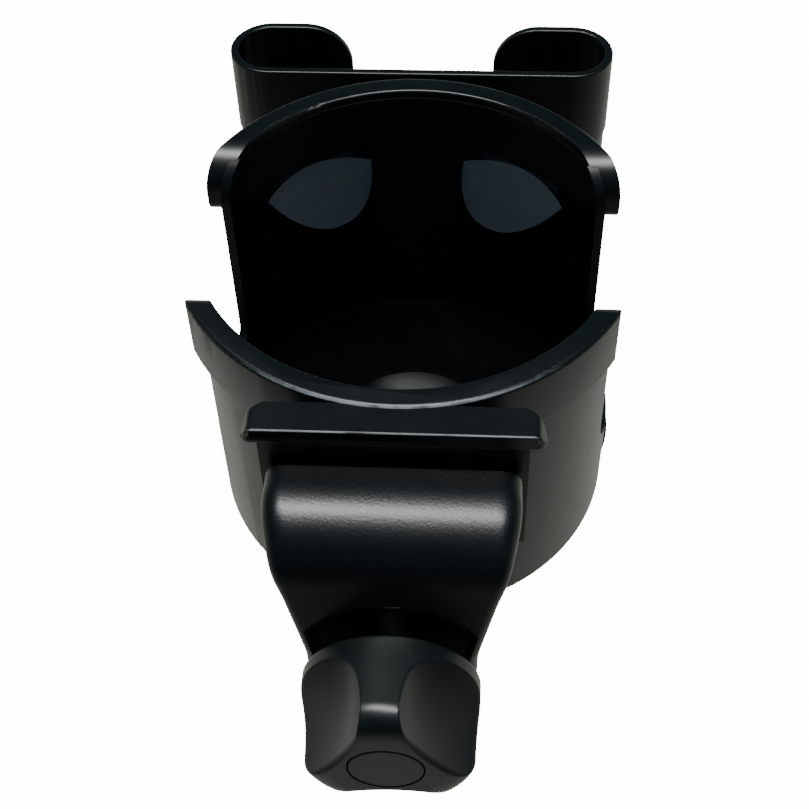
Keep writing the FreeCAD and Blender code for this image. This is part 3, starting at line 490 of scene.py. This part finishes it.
def clamp_arm_piece():
    """Head and arm: a rounded section carried from the head's back over its top and down the arm.

    Outer and inner outlines are paired point by point. Each pair carries a
    rounded rectangle as wide as the clamp is at that height, and the front
    is pushed back inside a circle round the screw, short of the arm's sides.
    """
    outer = rounded_path([(HEAD_BACK, HEAD_TOP, 0), (HEAD_FRONT, HEAD_TOP, 15.0), (ARM_FRONT, KNEE, 10.0),
                          (ARM_FRONT, ARM_LOW, 0)], 26, 40)
    inner = rounded_path([(HEAD_BACK, HEAD_UNDER, 0), (HEAD_FRONT + 4.0, HEAD_UNDER, 4.0),
                          (ARM_BACK, KNEE, 8.0), (ARM_BACK, ARM_LOW, 0)], 26, 40)
    middle = (outer + inner) / 2
    half = np.linalg.norm(outer - inner, axis=1) / 2
    away = (outer - inner) / (2 * half[:, None])
    corner = 2.2 + 3.2 * smoothstep(half, 2.8, 5.8)
    corner = np.minimum(corner, np.minimum(half * 0.98, half_width(middle[:, 1]) * 0.9))
    quarter = np.linspace(0, math.pi / 2, 9)
    flat = np.linspace(-1, 1, 90)[1:-1]
    none = np.zeros(len(flat))
    full = np.ones(len(quarter))
    side = np.concatenate([flat, full, full, flat[::-1], -full, -full])
    rows = []
    for h, r, centre, out_of_it in zip(half, corner, middle, away):
        out = r * np.concatenate([none, np.sin(quarter), np.cos(quarter),
                                  none, -np.sin(quarter), -np.cos(quarter)])
        rise = np.concatenate([none + h, h - r * (1 - np.cos(quarter)), -(h - r) - r * np.sin(quarter),
                               none - h, -h + r * (1 - np.cos(quarter)), (h - r) + r * np.sin(quarter)])
        yz = centre + out_of_it * rise[:, None]
        x = side * np.maximum(half_width(yz[:, 1]) - r, 0) + out
        rows.append(np.stack([x, yz[:, 0], yz[:, 1]], -1))
    points = np.array(rows)

    reach = np.hypot(points[..., 0], points[..., 2] - SCREW_Z)
    rim = half_width(points[..., 2]) - np.abs(points[..., 0])
    floor = ARM_FRONT + RECESS_DEPTH
    inside = (smoothstep(-reach, -RECESS_R, -RECESS_R + RECESS_SLOPE)
              * smoothstep(rim, RECESS_RIM, RECESS_RIM + RECESS_SLOPE))
    sunk = points[..., 1] + (floor - points[..., 1]) * inside
    points[..., 1] = np.where(points[..., 1] < floor, sunk, points[..., 1])

    back_cap = []
    middle_z = (HEAD_TOP + HEAD_UNDER) / 2
    for share in (0.0, 0.5):
        ring = points[0].copy()
        ring[:, 0] *= 0.9 + 0.1 * share
        ring[:, 2] = middle_z + (ring[:, 2] - middle_z) * share
        back_cap.append(ring)
    end = points[-1].copy()
    end[:, 0] = 0
    points = np.concatenate([np.array(back_cap), points, end[None]], axis=0)
    grid_piece("clamp_head_and_arm", [points], "clamp", GRAINED_ABS, ("clamp_body",))


clamp_arm_piece()


def rounded_block(low, high, radius):
    """Grid of a block with all edges rounded: a rounded rectangle carried up Z, inset at both ends.

    Each ring is four quarter circles pushed out to the block's corners. Its
    radius and its height follow a quarter circle at both ends, and one ring
    at each end closes on the middle.
    """
    low, high = np.array(low, float), np.array(high, float)
    middle, half = (low + high) / 2, (high - low) / 2
    quarter = np.linspace(0, math.pi / 2, 6)
    turn = np.concatenate([quarter + k * math.pi / 2 for k in range(4)])
    side_x = np.repeat([1, -1, -1, 1], len(quarter))
    side_y = np.repeat([1, 1, -1, -1], len(quarter))
    level = np.full(len(turn), 1.0)
    lower = [(-half[2] + radius * (1 - math.cos(q)), radius * math.sin(q)) for q in quarter]
    rings = lower + [(-z, r) for z, r in lower[::-1]]
    rows = [np.stack([side_x * (half[0] - radius) + r * np.cos(turn),
                      side_y * (half[1] - radius) + r * np.sin(turn), z * level], -1) for z, r in rings]
    poles = [np.stack([0 * level, 0 * level, z * level], -1) for z in (-half[2], half[2])]
    return np.array([poles[0], *rows, poles[1]]) + middle


def turned(profile):
    """Grid of a shape turned round the screw's axis: profile is (radius, y) pairs."""
    angle = np.linspace(0, 2 * math.pi, 96, endpoint=False)
    return np.array([knob_ring(r, y, angle) for r, y in profile])


PLATE_HALF = 21.7                  # the plate that slides in the rails
PLATE_FRONT = -53.7
PLATE_BACK = -50.4
JAW_HALF = 16.7                    # the neck and the fixed side of the jaw
JAW_FRONT = -57.2
BOSS_BORE = 5.86
BOSS_R = 7.25
BOSS_CHAMFER = 0.3


def clamp_plate_piece():
    """Sliding plate, neck, jaw back and the boss round the screw: rounded blocks and a turned ring."""
    inner_end = ARM_BACK + 0.3
    outer_end = ARM_FRONT - 0.5
    boss = turned([(BOSS_BORE, inner_end), (BOSS_BORE, outer_end), (BOSS_R - BOSS_CHAMFER, outer_end),
                   (BOSS_R, outer_end + BOSS_CHAMFER), (BOSS_R, ARM_FRONT + 3.2), (BOSS_R, inner_end),
                   (BOSS_BORE, inner_end)])
    plate = rounded_block((-PLATE_HALF, PLATE_FRONT, 40.0), (PLATE_HALF, PLATE_BACK, 72.7), 0.8)
    neck = rounded_block((-JAW_HALF, HEAD_BACK - 1.5, HEAD_UNDER + 0.3), (JAW_HALF, -53.0, 66.0), 0.5)
    jaw = rounded_block((-JAW_HALF, JAW_FRONT, 16.0), (JAW_HALF, PLATE_BACK, 57.0), 0.6)
    grid_piece("clamp_plate_and_neck", [plate, neck, jaw, boss], "clamp", SATIN_ABS,
               ("clamp_body",))


clamp_plate_piece()


# ---------------------------------------------------------------- cup and cradle


for node, body, material, edge_mm in (
    ("cup_shell", "cup", SHELL_ABS, 0.35),
    ("front_rim_collar", "cup", RIM_ABS, 0.45),
    ("rear_rim_collar", "cup", SATIN_ABS, 0.45),
    ("front_receiver", "cup", SATIN_ABS, 0.3),
    ("receiver_hood", "cup", RIM_ABS, 0.45),
    ("rear_rail", "cup", SATIN_ABS, 0.3),
    ("cradle_upper", "cradle", SATIN_ABS, 0.35),
    ("cradle_lower", "cradle", SATIN_ABS, 0.3),
):
    moulded_copy(node, body, material, edge_mm)


# ---------------------------------------------------------------- grip flaps


LEAF_HALF = 14.6                   # half its length along the wall
LEAF_REACH = 12.4                  # level reach from the hinge line
LEAF_SLOPE = math.radians(31.0)    # below level
LEAF_CROWN = 0.5                   # rise of its middle above a flat sheet
LEAF_THICK = 1.15
ROOT_GAP = 0.6                     # to the wall at its middle
TIP_GAP = 2.1                      # and at its two tips


def leaf_pieces():
    """Grip flaps, each a sheet over its length along the wall and its share of the reach.

    The reach falls off along the length as a power curve that meets the
    root at both tips. The sheet slopes down with a half sine of crown, and
    its thickness goes to nothing at the root and at the free edge.
    """
    share_along, share_out = np.meshgrid(np.linspace(-1, 1, 81), np.linspace(0, 1, 33), indexing="ij")
    fall = (1 - np.abs(share_along) ** 2.2) ** 0.75
    near_edge = np.clip(np.minimum(share_out, 1 - share_out) * 20 * fall, 0, 1)
    thick = LEAF_THICK * np.sqrt(near_edge) * (1 - 0.45 * share_out)
    gap = ROOT_GAP + (TIP_GAP - ROOT_GAP) * share_along ** 2
    wall = np.sqrt((WELL_R - gap) ** 2 - (share_along * LEAF_HALF) ** 2)
    for end, end_name in ((1, "rear"), (-1, "front")):
        for side, side_name in ((-1, "left"), (1, "right")):
            node = "flap_" + end_name + "_" + side_name
            hinge = np.array(joints[node + "_hinge"]["pos_m"]) / MM
            hinge_r = np.hypot(hinge[0], hinge[1])
            inward = -hinge * [1, 1, 0] / hinge_r
            along = np.array([end * side * inward[1], -end * side * inward[0], 0])
            root = hinge_r - wall
            out = root + (np.maximum(LEAF_REACH * fall, root) - root) * share_out
            top = hinge + share_along[..., None] * LEAF_HALF * along + out[..., None] * inward
            top[..., 2] += LEAF_CROWN * np.sin(share_out * math.pi) * fall - math.tan(LEAF_SLOPE) * out
            under = top.copy()
            under[..., 2] -= thick
            loop = np.concatenate([top, under[:, ::-1]], axis=1)
            grid_piece(node + "_leaf", [loop], node, SLATE_TPE, (node,))


leaf_pieces()


# ---------------------------------------------------------------- small CAD pieces


for node, material in (("knob_cap", KNOB_ABS), ("jaw_pad", BLACK_RUBBER), ("threaded_insert", BRASS),
                       ("clamp_screw", ZINC), ("thrust_washer", ZINC), ("pressure_shoe", KNOB_ABS),
                       ("shoe_pad", BLACK_RUBBER), ("shoe_clip", ZINC), ("receiver_screws", ZINC),
                       ("flap_anchors", SLATE_TPE)):
    slots = frame["nodes"][node].data.materials
    slots.clear()
    slots.append(material)


# ---------------------------------------------------------------- camera, floor and light


CAMERA_PLACE = (15.83, -229.02, 295.33)
CAMERA_YAW, CAMERA_PITCH, CAMERA_ROLL = math.radians(-4.41), math.radians(50.25), math.radians(-1.90)
FLOOR_SIZE = 3.0
FLOOR_GLOW = 14.0
LOW_FRONT = (0.030, 0.035, 0.036, 1.0)
LOW_REAR = (0.76, 0.77, 0.70, 1.0)
OVERHEAD = (0.042, 0.095, 0.112, 1.0)
TOP_PLACE = Vector((-0.03, -0.15, 0.90))
TOP_TARGET = Vector((0, -0.06, 0.06))
TOP_SIZE = (0.70, 0.20)
TOP_POWER = 10.0


def camera():
    """A 66 mm lens above the clamp, looking down at the cup."""
    level_step = math.cos(CAMERA_PITCH)
    ahead = Vector((math.sin(CAMERA_YAW) * level_step, math.cos(CAMERA_YAW) * level_step,
                    -math.sin(CAMERA_PITCH)))
    level = Vector((math.cos(CAMERA_YAW), -math.sin(CAMERA_YAW), 0))
    over = level.cross(ahead)
    right = level * math.cos(CAMERA_ROLL) + over * math.sin(CAMERA_ROLL)
    up = over * math.cos(CAMERA_ROLL) - level * math.sin(CAMERA_ROLL)
    data = bpy.data.cameras.new("camera")
    data.lens = 66.0
    data.sensor_width = 36.0
    data.clip_start = 0.01
    eye = bpy.data.objects.new("camera", data)
    turn = Matrix((right, up, -ahead)).transposed().to_4x4()
    eye.matrix_world = Matrix.Translation(Vector(CAMERA_PLACE) * MM) @ turn
    bpy.context.scene.collection.objects.link(eye)
    bpy.context.scene.camera = eye


def top_box():
    """One wide soft box, aimed at the clamp from nearly straight above."""
    data = bpy.data.lights.new("top_box", "AREA")
    data.shape = "RECTANGLE"
    data.size, data.size_y = TOP_SIZE
    data.energy = TOP_POWER
    data.color = linear("ffffff")[:3]
    lamp = bpy.data.objects.new("top_box", data)
    aim = (TOP_TARGET - TOP_PLACE).to_track_quat("-Z", "Y")
    lamp.matrix_world = Matrix.Translation(TOP_PLACE) @ aim.to_matrix().to_4x4()
    bpy.context.scene.collection.objects.link(lamp)


def surroundings():
    """Light from all round: dim and cool overhead, pale low at the rear and sides, dark low in front."""
    world = bpy.data.worlds.new("studio")
    world.use_nodes = True
    tree = world.node_tree
    toward = add(tree, "ShaderNodeTexCoord").outputs["Generated"]
    axes = add(tree, "ShaderNodeSeparateXYZ", None, {"Vector": toward})
    dip = add(tree, "ShaderNodeMath", {"operation": "MULTIPLY_ADD", 1: -0.6},
              {0: axes.outputs["Z"], 2: axes.outputs["Y"]})
    share = add(tree, "ShaderNodeMapRange", {"From Min": -0.70, "From Max": 1.2},
                {"Value": dip.outputs["Value"]})
    low = add(tree, "ShaderNodeMix", {"data_type": "RGBA", "A": LOW_FRONT, "B": LOW_REAR},
              {"Factor": share.outputs["Result"]})
    height = add(tree, "ShaderNodeMapRange", {"From Min": -0.10, "From Max": 0.30},
                 {"Value": axes.outputs["Z"]})
    colour = add(tree, "ShaderNodeMix", {"data_type": "RGBA", "B": OVERHEAD},
                 {"Factor": height.outputs["Result"], "A": low.outputs["Result"]})
    tree.links.new(colour.outputs["Result"], tree.nodes["Background"].inputs["Color"])
    bpy.context.scene.world = world


def pale_floor():
    """A wide white floor that glows to the camera and adds no light to the object."""
    mesh = bpy.data.meshes.new("floor")
    work = bmesh.new()
    bmesh.ops.create_grid(work, x_segments=1, y_segments=1, size=FLOOR_SIZE)
    work.to_mesh(mesh)
    work.free()
    floor = bpy.data.objects.new("floor", mesh)
    bpy.context.scene.collection.objects.link(floor)
    material, _, shader, _ = start("pale_floor", 1.45)
    shader.inputs["Base Color"].default_value = linear("f4f4f3")
    shader.inputs["Roughness"].default_value = 0.9
    shader.inputs["Emission Color"].default_value = linear("ffffff")
    shader.inputs["Emission Strength"].default_value = FLOOR_GLOW
    floor.visible_glossy = False
    floor.visible_diffuse = False
    mesh.materials.append(material)


camera()
pale_floor()
surroundings()
top_box()
